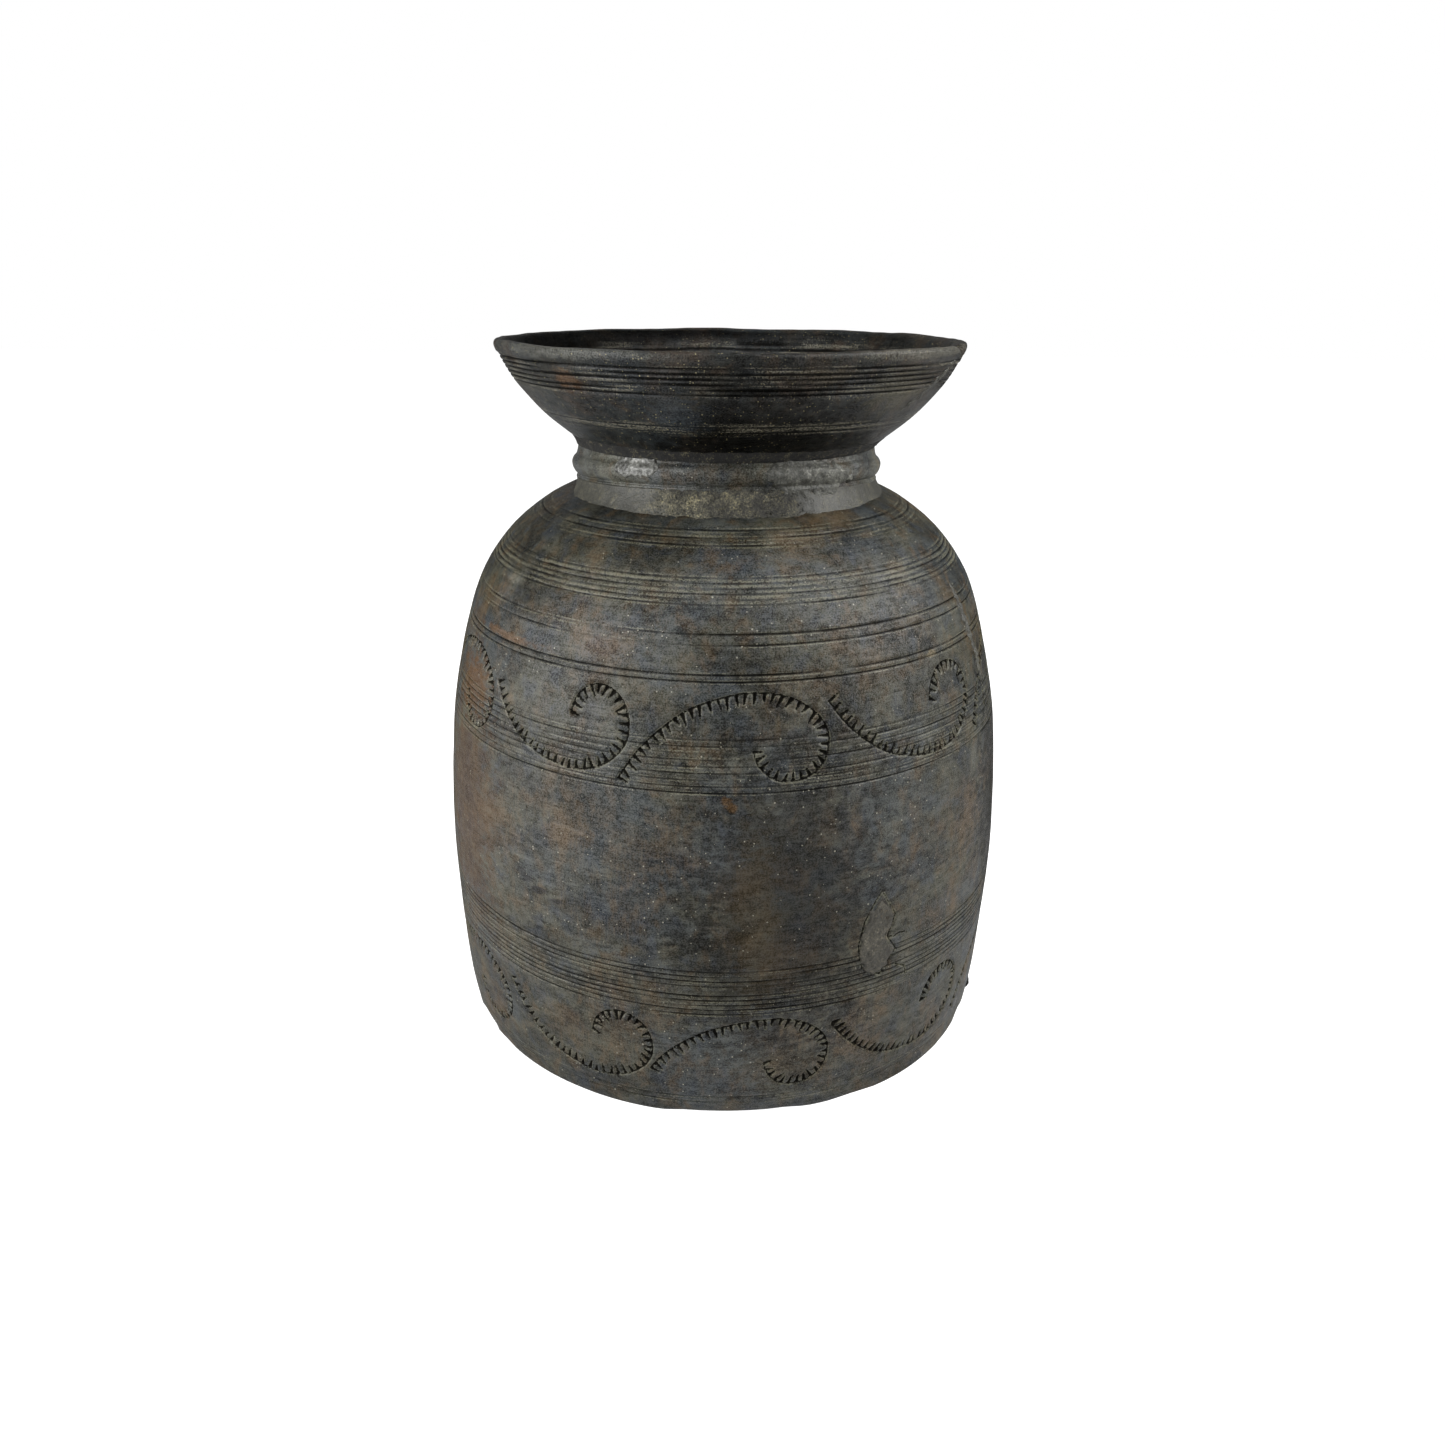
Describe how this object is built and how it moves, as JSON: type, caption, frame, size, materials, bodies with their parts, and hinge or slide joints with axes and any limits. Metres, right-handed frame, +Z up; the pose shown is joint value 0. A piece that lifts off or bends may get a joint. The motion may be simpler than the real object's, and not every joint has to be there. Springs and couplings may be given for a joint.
{
  "type": "turned wooden storage pot",
  "caption": "Big-bellied blackened wooden pot with a beaded collar and a flared open bowl for a mouth, turned lines and carved scroll bands round its belly.",
  "frame": {"origin": "centre of the resting face, under the belly's axis", "axes": "+Z up along the belly's axis, -Y towards the front with the two cracks on its right, +X to the right"},
  "size_m": [0.3238, 0.3238, 0.381],
  "materials": {
    "turned_wood": "smoke-blackened turned hardwood, waxed, worn brown in places",
    "collar_wood": "smoke-blackened turned hardwood, rubbed greyer",
    "bowl_wood": "smoke-blackened turned hardwood, near black, satin lip",
    "granular_mastic": "crumbly beige-grey filler, matte",
    "dark_pitch": "black set pitch, slightly glossy",
    "grey_filler": "smooth grey filler rubbed flat",
    "patch_wood": "brown-grey let-in patch, matte"
  },
  "bodies": {
    "root": {"belly_shell": "turned_wood", "neck_collar": "collar_wood", "mouth_bowl": "bowl_wood", "collar_foot_filler": "granular_mastic", "bowl_joint_filler": "dark_pitch", "collar_patch_left": "grey_filler", "collar_patch_right": "grey_filler", "belly_patch": "patch_wood", "shoulder_crack_fill": "granular_mastic", "bowl_crack_fill": "granular_mastic", "resin_lump": "dark_pitch"}
  },
  "joints": []
}
